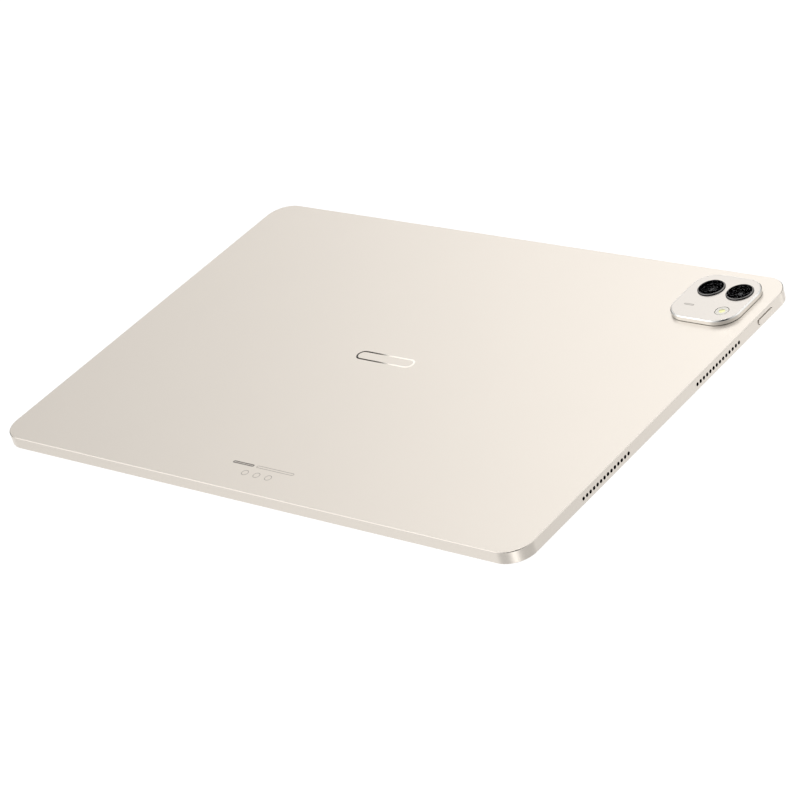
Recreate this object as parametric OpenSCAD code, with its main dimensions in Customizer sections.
// Tablet computer, lying screen down. Millimetres.
// Origin: centre of the screen glass. +X runs along the long side towards the power button, +Y towards the
// long side with the volume keys, +Z out of the back.

/* [Body] */
// Length of the body along X
body_w = 293.9; // [288:0.1:300]
// Depth of the body along Y
body_d = 201.1; // [198:0.1:206]
// Height of the back face above the screen glass
body_t = 5.8; // [5.8:0.1:6.2]
// Radius of the four corners of the body
corner_r = 11.5; // [10:0.5:13]
// Chamfer round the edge of the back
back_chamfer = 0.3; // [0.1:0.05:0.5]
// Thickness of the side walls
side_wall = 2.2; // [2:0.1:2.4]
// Thickness of the back wall
back_wall = 0.8; // [0.7:0.05:0.9]
// Distance of the keys and openings in the side walls below the middle of the wall
wall_drop = 0.2; // [0:0.05:0.2]

/* [Screen] */
// Thickness of the cover glass
glass_t = 0.65; // [0.5:0.05:0.65]
// Width of the metal rim round the glass
rim_w = 1; // [0.8:0.1:1.2]
// Gap between the rim and the glass
glass_gap = 0.1; // [0.05:0.05:0.2]
// Length of the display panel
panel_w = 279.6; // [270:0.1:279.6]
// Depth of the display panel
panel_d = 186.6; // [180:0.1:186.6]

/* [Camera bump] */
// X of the middle of the bump
bump_x = 123.05; // [122:0.05:124]
// Y of the middle of the bump
bump_y = 77.4; // [77:0.05:78]
// Length of the bump along X
bump_w = 34; // [33:0.1:35]
// Depth of the bump along Y
bump_d = 33.6; // [33:0.1:35]
// Height of the bump above the back
bump_h = 2.3; // [2.1:0.1:2.6]
// Corner radius of the bump
bump_r = 10; // [9:0.5:11]
// Chamfer round the top of the bump
bump_chamfer = 0.5; // [0.4:0.1:0.8]
// Radius of each lens ring
ring_r = 6.1; // [5.8:0.05:6.2]
// Height of each lens ring above the cover plate
ring_h = 0.6; // [0.5:0.05:0.8]
// Distance between the two lens axes
lens_pitch = 14.45; // [14:0.05:15]
// Radius of the flash window
flash_r = 2.95; // [2.8:0.05:3.2]
// Travel of the autofocus barrel
focus_travel = 0.25; // [0.1:0.05:0.3]

/* [Speakers] */
// Holes in each grille
grille_holes = 14; // [8:1:14]
// Distance between neighbouring holes
hole_pitch = 2.423; // [2.3:0.001:2.45]
// Radius of each hole
hole_r = 0.76; // [0.6:0.02:0.8]
// Distance from the X axis to the middle of a grille
grille_y = 40.9; // [40:0.05:41]
// Travel of a diaphragm each way
cone_travel = 0.2; // [0.1:0.05:0.2]

/* [Buttons] */
// Length of a side key
key_l = 11.2; // [10:0.1:12]
// Height of a side key
key_h = 2.3; // [2:0.1:2.4]
// Height of a side key's face above the wall
key_proud = 0.4; // [0.1:0.05:0.5]
// Gap round a side key in its slot
key_gap = 0.15; // [0.1:0.05:0.2]
// Travel of a side key
key_travel = 0.25; // [0.15:0.05:0.25]
// Y of the middle of the power button
power_y = 77.2; // [76:0.1:78]
// X of the middle of the volume up key
volume_up_x = 97; // [96:0.5:98]
// X of the middle of the volume down key
volume_down_x = 81; // [80:0.5:82]

/* [Hidden] */
$fn = 64;
cut = 1; // how far a cutting shape runs past the face it opens

// Heights above the screen glass
rim_z = 0.1;
rim_chamfer = 0.25;
ledge_z = glass_t + 0.15;
panel_z = glass_t + 0.5;
backlight_z = panel_z + 0.8;
back_in = body_t - back_wall;
wall_z = (rim_z + body_t) / 2 - wall_drop;
mic_hole_r = 0.4;

// Inner faces of the housing and outline of the glass
glass_w = body_w - 2 * (rim_w + glass_gap);
glass_d = body_d - 2 * (rim_w + glass_gap);
glass_r = corner_r - rim_w - glass_gap;
inner_x = body_w / 2 - side_wall;
inner_y = body_d / 2 - side_wall;
inner_r = corner_r - side_wall;
lower_glass_chamfer = 0.15;
adhesive_inset = 0.15;
panel_r = 4;
front_camera_at = [0, inner_y - 2.45];
front_camera_size = [7, 4.5];
front_lens_r = 1.6;

// Camera bump
bump_top = body_t + bump_h;
plate_t = 0.7;
plate_z = bump_top - plate_t;
plate_inset = bump_chamfer + 0.15;
spigot_inset = 1.7;
spigot_z = back_in - 0.3;
opening_gap = 0.1;
lens_y = bump_y + 5.9;
main_x = bump_x - 6;
wide_x = main_x + lens_pitch;
flash_x = wide_x + 0.2;
flash_y = bump_y - 8.45;
ring_chamfer = 0.35;
window_r = ring_r - 0.6;
window_t = ring_h - 0.05;
spigot_r = ring_r - 0.4;
bore_r = window_r - 0.35;
led_r = 4.2;
led_rim_r = 3.4;
led_half = 1.4;
led_z0 = plate_z - 0.8;
led_floor_z = plate_z - 0.4;
bracket_z = 2.75;
bracket_t = 0.3;
bracket_main = [102.6, 74.6, 138, 92];
bracket_tail = [102.6, 64, 106.4, 76];
module_z = bracket_z + bracket_t;
main_half = 5.75;
main_body_z = plate_z - 0.8;
wide_half = 4.5;
wide_body_z = plate_z - 1;
barrel_r = 4.1;
barrel_z0 = 4.8;
barrel_z1 = bump_top - focus_travel - 0.55;
barrel_gap = 0.3;
barrel_hood = [2, 3.5, 0.8]; // lower radius, upper radius, depth
wide_r = 3.8;
wide_hood = [1.6, 3.2, 0.6];

// Logic board
board_x0 = 82;
board_x1 = 116;
board_y0 = -92;
board_y1 = 57;
board_arm_x = 100;
board_arm_y = 91;
board_z0 = 3.8;
board_z1 = 4.5;
board_holes = [[85.5, -87.5], [112.5, -87.5], [85.5, -15], [112.5, 53.5], [86, 87]];
bracket_holes = [[104.5, 90], [104.5, 66]];
usb_holes = [[-128, 9], [-128, -9]];
can_z = 2.3;
can_t = 0.2;
processor_can = [86, -6, 114, 30];
radio_can = [86, -52, 114, -20];
spreader = [84, -6, 114, 30];
processor = [90, 8, 104, 22];
processor_z = 2.75;
memories = [[106, 8, 112.5, 22], [90, -4.5, 101, 6], [90, 34, 103, 45]];
memory_z = 2.9;
boss_r = 1.6;
screw_r = 0.65;
screw_clear = 0.1;
screw_head_r = 1.1;
screw_head_h = 0.5;
screw_end_z = back_in + 0.3;

// Batteries
cell_w = 88;
cell_d = 165;
cell_z = 2.3;
cell_y = -6;
cell_r = 1.5;
cell_left_x = -66;
cell_right_x = 26;
battery_board = [-20, cell_y + cell_d / 2, 66, 83];

// Flexible cables, and the plugs that stand between them and the boards
flex_t = 0.15;
camera_plug = [92, 75.5, 96, 86];
camera_plug_h = 0.9;
camera_flex_y = [75.5, 77.2, 80, 86];
camera_flex_half = 2;
display_tail = [88, -92, 108, -60];
display_plug = [92, -66, 104, -60];
battery_tail = [56, 78, 90, 82];
battery_plug = [84, 77.5, 89.5, 82.5];
usb_run_x = [-115.5, -111.5];
usb_run_y = [-94, -90];
usb_plug = [88, -92, 96, -90];
key_run_x = [138.8, 140.8];
key_run_y = [93, 95];
key_run_more = 5;
key_plug_x = [88, 94];
key_plug_l = 3;

// Small parts on the inside of the walls
mic_x = [-24, 24];
mic_side_y = -75;
mic_size = [3.6, 3];
part_z = 2.2;
antenna_t = 0.2;
antenna_upper = [-100, 36];
antenna_lower = [-70, 40];
antenna_upper_size = [32, 4];
antenna_lower_size = [10, 3.5];
magnets_x = [-110, -90, -30, 30, 90, 110];
magnet_size = [12, 3.2];

// Speakers
mesh_t = 0.15;
box_x0 = inner_x - mesh_t - 25.4;
box_x1 = inner_x - mesh_t;
box_half = 18.5;
box_z = 2.15;
box_wall = 1;
box_floor = 0.35;
ear_x = box_x0 - 1.3;
ear_y = 12.5;
ear_half = [1.3, 2];
ear_z = 4.3;
outlet_more = 1;
outlet_top = wall_z + 0.6;
mesh_more = 1.2;
mesh_half_h = 0.9;
grille_half = (grille_holes - 1) * hole_pitch / 2;
magnet = [11, 21];
coil_gap = 0.5;
coil_t = 0.5;
cone = [19, 30];
cone_x = (box_x0 + box_x1) / 2;
cone_z = 2.95;
cone_t = 0.25;
magnet_z = cone_z + cone_t + cone_travel + 0.3;
coil_z = 4.1;
CORNERS = [["right_upper", 1, 1], ["right_lower", 1, -1], ["left_upper", -1, 1], ["left_lower", -1, -1]];

// USB-C port
usb_out = [8.94, 3.16];
usb_in = [8.34, 2.56];
usb_gap = 0.1;
usb_mouth = body_w / 2 - 0.1;
usb_end = usb_mouth - 6.65;
usb_back_t = 0.4;
tongue = [6.69, 0.7];
tongue_back = 0.9;
tongue_root = 0.6;
usb_board_x = [0.2 - inner_x, -112];
usb_board_half = 13;
usb_board_z = wall_z + usb_out[1] / 2;

// Side keys, measured inwards from the inner face of the wall
flange_gap = 0.05;
flange_t = 0.7;
flange_more = 0.8;
stem_r = 1;
stem_l = 0.9;
stem_gap = key_travel + 0.05;
switch_t = 1.5;
switch_half = [2.5, 1.1];
key_plate_t = 1;
key_plate_half = 4.5;

// Screws
slot_l = 1.2;
slot_w = 0.24;
slot_z = 0.25;

// Rounded rectangle centred on the origin
module outline(w, d, r) {
    square([w - 2 * r, d], center = true);
    square([w, d - 2 * r], center = true);
    for (x = [-1, 1], y = [-1, 1])
        translate([x * (w / 2 - r), y * (d / 2 - r)]) circle(r);
}

// Plate with rounded corners between two heights
module slab(w, d, r, z0, z1)
    translate([0, 0, z0]) linear_extrude(z1 - z0) outline(w, d, r);

// Block between two corners
module block(a, b)
    translate(a) cube(b - a);

// Block over a rectangle [x0, y0, x1, y1] between two heights
module pad(r, z0, z1)
    block([r[0], r[1], z0], [r[2], r[3], z1]);

// Upright cylinder between two heights
module rod(x, y, r, z0, z1)
    translate([x, y, z0]) cylinder(h = z1 - z0, r = r);

// Right half of a chamfered edge, from low to high
function edge(h, z0, z1, low, high) = concat(
    low > 0 ? [[h - low, z0], [h, z0 + low]] : [[h, z0]],
    high > 0 ? [[h, z1 - high], [h - high, z1]] : [[h, z1]]);
// The same edge on the left, from high to low
function left_edge(h, z0, z1, low, high) =
    let (e = edge(h, z0, z1, low, high)) [for (i = [len(e) - 1:-1:0]) [-e[i][0], e[i][1]]];

// Rounded plate with a chamfer round its lower and its upper edge
module chamfered_slab(w, d, r, z0, z1, low, high) {
    for (x = [-1, 1], y = [-1, 1])
        translate([x * (w / 2 - r), y * (d / 2 - r), 0])
            rotate_extrude() polygon(concat([[0, z0]], edge(r, z0, z1, low, high), [[0, z1]]));
    translate([r - w / 2, 0, 0]) rotate([90, 0, 90]) linear_extrude(w - 2 * r)
        polygon(concat(edge(d / 2, z0, z1, low, high), left_edge(d / 2, z0, z1, low, high)));
    translate([0, d / 2 - r, 0]) rotate([90, 0, 0]) linear_extrude(d - 2 * r)
        polygon(concat(edge(w / 2, z0, z1, low, high), left_edge(w / 2, z0, z1, low, high)));
}

// Pill shape of length l and height h, extruded along +X from x0 to x1 at mid-wall height
module pill(l, h, x0, x1)
    translate([x0, 0, wall_z]) rotate([90, 0, 90]) linear_extrude(x1 - x0) {
        square([l - h, h], center = true);
        for (y = [-1, 1]) translate([y * (l - h) / 2, 0]) circle(h / 2);
    }

// Turns what is drawn for the +X wall so that it sits in the +Y wall at x
module on_upper_wall(x)
    translate([x, inner_y - inner_x, 0]) rotate([0, 0, 90]) children();

module on_power_side()
    translate([0, power_y, 0]) children();

module at_bump()
    translate([bump_x, bump_y, 0]) children();

module at_each(points)
    for (p = points) translate([p[0], p[1], 0]) children();

module at_ears(sx, sy)
    for (e = [-1, 1]) translate([sx * ear_x, sy * (grille_y + e * ear_y), 0]) children();

// ---- Housing ----
module housing_shell() {
    difference() {
        chamfered_slab(body_w, body_d, corner_r, rim_z, body_t, rim_chamfer, back_chamfer);
        slab(body_w - 2 * rim_w, body_d - 2 * rim_w, corner_r - rim_w, -cut, ledge_z);
        slab(2 * inner_x, 2 * inner_y, inner_r, 0, back_in);
    }
    at_each(board_holes) rod(0, 0, boss_r, board_z1, back_in + 0.2);
    at_each(bracket_holes) rod(0, 0, boss_r, module_z, back_in + 0.2);
}

module key_slot()
    pill(key_l + 2 * key_gap, key_h + 2 * key_gap, inner_x - cut, body_w / 2 + cut);

module speaker_holes(sx, sy)
    for (i = [0:grille_holes - 1])
        translate([sx * (inner_x - cut), sy * grille_y - grille_half + i * hole_pitch, wall_z])
            rotate([0, sx * 90, 0]) cylinder(h = side_wall + 2 * cut, r = hole_r);

module microphone_hole()
    translate([inner_x - cut, 0, wall_z]) rotate([0, 90, 0])
        cylinder(h = side_wall + 2 * cut, r = mic_hole_r);

module screw_hole(z0)
    rod(0, 0, screw_r + 0.05, z0, screw_end_z + 0.05);

module rear_housing() color("#e9e1d5") difference() {
    housing_shell();
    at_bump() slab(bump_w - 2 * (spigot_inset - opening_gap), bump_d - 2 * (spigot_inset - opening_gap),
        bump_r - spigot_inset + opening_gap, back_in - cut, body_t + cut);
    for (c = CORNERS) {
        speaker_holes(c[1], c[2]);
        at_ears(c[1], c[2]) screw_hole(back_in - cut);
    }
    on_power_side() key_slot();
    on_upper_wall(volume_up_x) key_slot();
    on_upper_wall(volume_down_x) key_slot();
    mirror([1, 0, 0])
        pill(usb_out[0] + 2 * usb_gap, usb_out[1] + 2 * usb_gap, inner_x - cut, body_w / 2 + cut);
    for (x = mic_x) on_upper_wall(x) microphone_hole();
    mirror([1, 0, 0]) translate([0, mic_side_y, 0]) microphone_hole();
    at_each(board_holes) screw_hole(board_z1 - cut);
    at_each(bracket_holes) screw_hole(module_z - cut);
    at_each(usb_holes) screw_hole(back_in - cut);
}

// ---- Camera bump ----
module camera_bump_rim() color("#d9d5ce") at_bump() difference() {
    union() {
        chamfered_slab(bump_w, bump_d, bump_r, body_t, bump_top, 0, bump_chamfer);
        slab(bump_w - 2 * spigot_inset, bump_d - 2 * spigot_inset, bump_r - spigot_inset,
            spigot_z, body_t + 0.2);
    }
    slab(bump_w - 2 * plate_inset, bump_d - 2 * plate_inset, bump_r - plate_inset,
        plate_z, bump_top + cut);
    slab(bump_w - 2 * (spigot_inset + 1), bump_d - 2 * (spigot_inset + 1), bump_r - spigot_inset - 1,
        spigot_z - cut, plate_z + 0.2);
}

module camera_cover_plate() color("#e6e0d6") difference() {
    at_bump() slab(bump_w - 2 * plate_inset - opening_gap, bump_d - 2 * plate_inset - opening_gap,
        bump_r - plate_inset - opening_gap / 2, plate_z, bump_top);
    for (x = [main_x, wide_x]) rod(x, lens_y, spigot_r + opening_gap, plate_z - cut, bump_top + cut);
    rod(flash_x, flash_y, flash_r + opening_gap, plate_z - cut, bump_top + cut);
}

// Black ring that stands on the cover plate, with a stepped bore for the window
module lens_ring(x) color("#17171a") translate([x, lens_y, 0]) rotate_extrude()
    polygon([
        [bore_r, plate_z], [spigot_r, plate_z], [spigot_r, bump_top], [ring_r, bump_top],
        [ring_r, bump_top + ring_h - ring_chamfer], [ring_r - ring_chamfer, bump_top + ring_h],
        [window_r + 0.05, bump_top + ring_h], [window_r + 0.05, bump_top],
        [bore_r, bump_top]
    ]);

module lens_window(x) color("#22242c") rod(x, lens_y, window_r, bump_top, bump_top + window_t);

module flash_window() color("#f4f1e6") rod(flash_x, flash_y, flash_r, plate_z, bump_top);

// LED die on a round carrier with a raised rim
module flash_led() color("#f2e98a") translate([flash_x, flash_y, 0]) {
    rod(0, 0, led_r, led_z0, led_floor_z);
    difference() {
        rod(0, 0, led_r, led_floor_z - 0.2, plate_z);
        rod(0, 0, led_rim_r, led_z0, plate_z + cut);
    }
    block([-led_half, -led_half, led_floor_z - 0.2], [led_half, led_half, plate_z - 0.05]);
}

module camera_bracket() color("#b9bbbd") difference() {
    union() {
        pad(bracket_main, bracket_z, module_z);
        pad(bracket_tail, bracket_z, module_z);
    }
    at_each(bracket_holes) rod(0, 0, screw_r + screw_clear, bracket_z - cut, module_z + cut);
}

module main_camera_body() color("#3a3c40") difference() {
    pad(around(main_x, main_half), module_z, main_body_z);
    rod(main_x, lens_y, barrel_r + barrel_gap, barrel_z0 - 0.4, plate_z);
}

module wide_camera_body() color("#3a3c40")
    pad(around(wide_x, wide_half), module_z, wide_body_z);

function around(x, half) = [x - half, lens_y - half, x + half, lens_y + half];

// Lens barrel between two heights, with a conical hood in its upper face
module lens_barrel(x, r, z0, z1, hood) color("#1c1d20") difference() {
    rod(x, lens_y, r, z0, z1);
    translate([x, lens_y, z1 - hood[2]]) cylinder(h = hood[2] + cut / 100, r1 = hood[0], r2 = hood[1]);
}

module main_camera_lens() lens_barrel(main_x, barrel_r, barrel_z0, barrel_z1, barrel_hood);

module wide_camera_lens() lens_barrel(wide_x, wide_r, wide_body_z, plate_z - 0.1, wide_hood);

module camera_flex() color("#b9772f") {
    pad([camera_plug[0], camera_flex_y[2], main_x - main_half, camera_flex_y[3]],
        board_z0 - flex_t, board_z0);
    pad([camera_plug[0], camera_flex_y[0], wide_x + camera_flex_half, camera_flex_y[1]],
        board_z0 - flex_t, board_z0);
    pad([wide_x - camera_flex_half, camera_flex_y[0], wide_x + camera_flex_half, lens_y - wide_half],
        board_z0 - flex_t, board_z0);
    pad(camera_plug, board_z0 - camera_plug_h, board_z0);
}

// ---- Screen ----
module cover_glass() color("#101114")
    chamfered_slab(glass_w, glass_d, glass_r, 0, glass_t, lower_glass_chamfer, 0);

module display_adhesive() color("#2a2a2c") difference() {
    slab(glass_w - 2 * adhesive_inset, glass_d - 2 * adhesive_inset, glass_r - adhesive_inset,
        glass_t, ledge_z);
    slab(2 * inner_x + 0.1, 2 * inner_y + 0.1, inner_r + 0.05, glass_t - cut, ledge_z + cut);
}

module display_panel() color("#1b1d24") slab(panel_w, panel_d, panel_r, glass_t, panel_z);

module backlight_unit() color("#c9cbce") slab(panel_w, panel_d, panel_r, panel_z, backlight_z);

module display_flex() color("#b9772f") {
    pad(display_tail, backlight_z, backlight_z + flex_t);
    pad(display_plug, backlight_z + flex_t / 2, board_z0);
}

module front_camera() color("#26282c") translate(front_camera_at) {
    block([-front_camera_size[0] / 2, -front_camera_size[1] / 2, 1.5],
        [front_camera_size[0] / 2, front_camera_size[1] / 2, back_in]);
    rod(0, 0, front_lens_r, glass_t, 1.7);
}

// ---- Electronics ----
module logic_board() color("#1f4a3a") difference() {
    union() {
        block([board_x0, board_y0, board_z0], [board_x1, board_y1, board_z1]);
        block([board_x0, board_y1 - cut, board_z0], [board_arm_x, board_arm_y, board_z1]);
    }
    at_each(board_holes) rod(0, 0, screw_r + screw_clear, board_z0 - cut, board_z1 + cut);
}

// Thin metal can, open towards the board
module shield(can) color("#c4c6c8") difference() {
    pad(can, can_z, board_z0);
    pad(can + can_t * [1, 1, -1, -1], can_z + can_t, board_z0 + cut);
}

module processor_shield() shield(processor_can);

module radio_shield() shield(radio_can);

module processor_chip() color("#2b2d31") pad(processor, processor_z, board_z0);

module memory_chips() color("#202226") for (m = memories) pad(m, memory_z, board_z0);

module heat_spreader() color("#4d4f52") pad(spreader, can_z - flex_t, can_z);

module battery_cell(x) color("#3d3f44")
    translate([x, cell_y, 0]) slab(cell_w, cell_d, cell_r, cell_z, back_in);

module battery_circuit_board() color("#1f4a3a") pad(battery_board, board_z0, back_in);

module battery_flex() color("#b9772f") {
    pad(battery_tail, board_z0 - flex_t, board_z0);
    pad(battery_plug, board_z0 - camera_plug_h, board_z0 - flex_t);
}

module microphones() color("#c9a85a") {
    for (x = mic_x)
        block([x - mic_size[0] / 2, inner_y - mic_size[1], part_z],
            [x + mic_size[0] / 2, inner_y, back_in]);
    block([-inner_x, mic_side_y - mic_size[0] / 2, part_z],
        [mic_size[1] - inner_x, mic_side_y + mic_size[0] / 2, back_in]);
}

module antennas() color("#b9772f") {
    for (x = antenna_upper)
        pad([x, inner_y - antenna_upper_size[1], x + antenna_upper_size[0], inner_y],
            back_in - antenna_t, back_in);
    for (x = antenna_lower)
        pad([x, -inner_y, x + antenna_lower_size[0], antenna_lower_size[1] - inner_y],
            back_in - antenna_t, back_in);
}

module cover_magnets() color("#8d9094")
    for (x = magnets_x)
        pad([x - magnet_size[0] / 2, -inner_y, x + magnet_size[0] / 2, magnet_size[1] - inner_y],
            part_z, back_in);

// ---- Speakers ----
// Plastic box with a sound outlet towards the wall, a magnet block inside and two screw ears
module speaker_box(sx, sy) color("#2e3034") difference() {
    union() {
        difference() {
            corner_block(sx, sy, [box_x0, -box_half, box_z], [box_x1, box_half, back_in]);
            corner_block(sx, sy, [box_x0 + box_wall, box_wall - box_half, box_z + box_floor],
                [box_x1 - box_wall, box_half - box_wall, back_in - box_floor]);
            corner_block(sx, sy, [box_x1 - 2 * box_wall, -grille_half - outlet_more, box_z + box_floor],
                [box_x1 + cut, grille_half + outlet_more, outlet_top]);
        }
        corner_block(sx, sy, [cone_x - magnet[0] / 2, -magnet[1] / 2, magnet_z],
            [cone_x + magnet[0] / 2, magnet[1] / 2, back_in - 0.1]);
        for (e = [-1, 1])
            corner_block(sx, sy, [ear_x - ear_half[0], e * ear_y - ear_half[1], ear_z],
                [box_x0 + 0.2, e * ear_y + ear_half[1], back_in]);
    }
    at_ears(sx, sy) rod(0, 0, screw_r + screw_clear, ear_z - cut, back_in + cut);
}

// Block drawn beside the grille of one corner, mirrored to the side that it belongs to
module corner_block(sx, sy, a, b)
    translate([0, sy * grille_y, 0]) mirror([sx > 0 ? 0 : 1, 0, 0]) block(a, b);

module speaker_diaphragm(sx, sy) color("#55585e") {
    corner_block(sx, sy, [cone_x - cone[0] / 2, -cone[1] / 2, cone_z],
        [cone_x + cone[0] / 2, cone[1] / 2, cone_z + cone_t]);
    difference() {
        corner_block(sx, sy, coil_low(coil_gap + coil_t, cone_z + cone_t - 0.05),
            coil_high(coil_gap + coil_t, coil_z));
        corner_block(sx, sy, coil_low(coil_gap, cone_z + cone_t), coil_high(coil_gap, coil_z + cut));
    }
}

function coil_low(grow, z) = [cone_x - magnet[0] / 2 - grow, -magnet[1] / 2 - grow, z];
function coil_high(grow, z) = [cone_x + magnet[0] / 2 + grow, magnet[1] / 2 + grow, z];

module speaker_mesh(sx, sy) color("#0e0e10")
    corner_block(sx, sy, [box_x1, -grille_half - mesh_more, wall_z - mesh_half_h],
        [inner_x, grille_half + mesh_more, wall_z + mesh_half_h]);

// ---- USB-C port, drawn on the +X side and mirrored ----
module usb_c_shell() color("#b4b6b8") mirror([1, 0, 0]) difference() {
    pill(usb_out[0], usb_out[1], usb_end, usb_mouth);
    pill(usb_in[0], usb_in[1], usb_end + usb_back_t, usb_mouth + cut);
}

module usb_c_tongue() color("#1a1a1c") mirror([1, 0, 0]) {
    pill(usb_in[0], usb_in[1], usb_end + usb_back_t, usb_end + usb_back_t + tongue_root);
    block([usb_end + usb_back_t, -tongue[0] / 2, wall_z - tongue[1] / 2],
        [usb_mouth - tongue_back, tongue[0] / 2, wall_z + tongue[1] / 2]);
}

module usb_board() color("#1f4a3a") difference() {
    block([usb_board_x[0], -usb_board_half, usb_board_z], [usb_board_x[1], usb_board_half, back_in]);
    at_each(usb_holes) rod(0, 0, screw_r + screw_clear, wall_z, back_in + cut);
}

module usb_flex() color("#b9772f") {
    pad([usb_run_x[0], usb_run_y[0], usb_run_x[1], -usb_board_half], back_in - flex_t, back_in);
    pad([usb_run_x[0], usb_run_y[0], usb_plug[2], usb_run_y[1]], back_in - flex_t, back_in);
    pad(usb_plug, board_z1, back_in - flex_t / 2);
}

// ---- Side keys, drawn in the +X wall ----
module side_key() {
    pill(key_l, key_h, inner_x - flange_gap - flange_t, body_w / 2 + key_proud);
    pill(key_l + 2 * flange_more, key_h + flange_more,
        inner_x - flange_gap - flange_t, inner_x - flange_gap);
    translate([inner_x - flange_gap - flange_t - stem_l, 0, wall_z]) rotate([0, 90, 0])
        cylinder(h = stem_l + 0.2, r = stem_r);
}

// Key switch on the bracket that holds it to the back wall
module key_switch() {
    face = inner_x - flange_gap - flange_t - stem_l - stem_gap;
    block([face - switch_t, -switch_half[0], wall_z - switch_half[1]],
        [face, switch_half[0], wall_z + switch_half[1]]);
    block([face - switch_t - key_plate_t, -key_plate_half, wall_z - switch_half[1]],
        [face - switch_t, key_plate_half, back_in - flex_t]);
}

module power_button() color("#e2dacd") on_power_side() side_key();

module volume_up_key() color("#e2dacd") on_upper_wall(volume_up_x) side_key();

module volume_down_key() color("#e2dacd") on_upper_wall(volume_down_x) side_key();

module power_switch() color("#8d9094") on_power_side() key_switch();

module volume_switches() color("#8d9094")
    for (x = [volume_up_x, volume_down_x]) on_upper_wall(x) key_switch();

module side_key_flex() color("#b9772f") {
    pad([volume_down_x - key_run_more, key_run_y[0], key_run_x[1], key_run_y[1]],
        back_in - flex_t, back_in);
    pad([key_run_x[0], power_y - key_run_more, key_run_x[1], key_run_y[1]], back_in - flex_t, back_in);
    pad([key_plug_x[0], board_arm_y - key_plug_l, key_plug_x[1], key_run_y[1]], back_in - flex_t, back_in);
    pad([key_plug_x[0], board_arm_y - key_plug_l, key_plug_x[1], board_arm_y],
        board_z1, back_in - flex_t / 2);
}

// ---- Screws ----
module screw(z) {
    rod(0, 0, screw_r, z - 0.1, screw_end_z);
    difference() {
        rod(0, 0, screw_head_r, z - screw_head_h, z);
        for (a = [0, 90]) rotate([0, 0, a])
            block([-slot_l / 2, -slot_w / 2, z - screw_head_h - cut], [slot_l / 2, slot_w / 2, z - slot_z]);
    }
}

module board_screws() color("#9a9c9f") {
    at_each(board_holes) screw(board_z0);
    at_each(bracket_holes) screw(bracket_z);
    at_each(usb_holes) screw(usb_board_z);
}

module speaker_screws() color("#9a9c9f")
    for (c = CORNERS) at_ears(c[1], c[2]) screw(ear_z);

rear_housing();
camera_bump_rim();
camera_cover_plate();
lens_ring(main_x);  // lens_ring_main
lens_ring(wide_x);  // lens_ring_wide
lens_window(main_x);  // lens_window_main
lens_window(wide_x);  // lens_window_wide
flash_window();
flash_led();
camera_bracket();
main_camera_body();
main_camera_lens();
wide_camera_body();
wide_camera_lens();
camera_flex();
cover_glass();
display_adhesive();
display_panel();
backlight_unit();
display_flex();
front_camera();
logic_board();
processor_shield();
radio_shield();
processor_chip();
memory_chips();
heat_spreader();
battery_cell(cell_left_x);  // battery_cell_left
battery_cell(cell_right_x);  // battery_cell_right
battery_circuit_board();
battery_flex();
for (c = CORNERS) {
    speaker_box(c[1], c[2]);
    speaker_diaphragm(c[1], c[2]);
    speaker_mesh(c[1], c[2]);
}
usb_c_shell();
usb_c_tongue();
usb_board();
usb_flex();
power_button();
power_switch();
volume_up_key();
volume_down_key();
volume_switches();
side_key_flex();
microphones();
antennas();
cover_magnets();
board_screws();
speaker_screws();
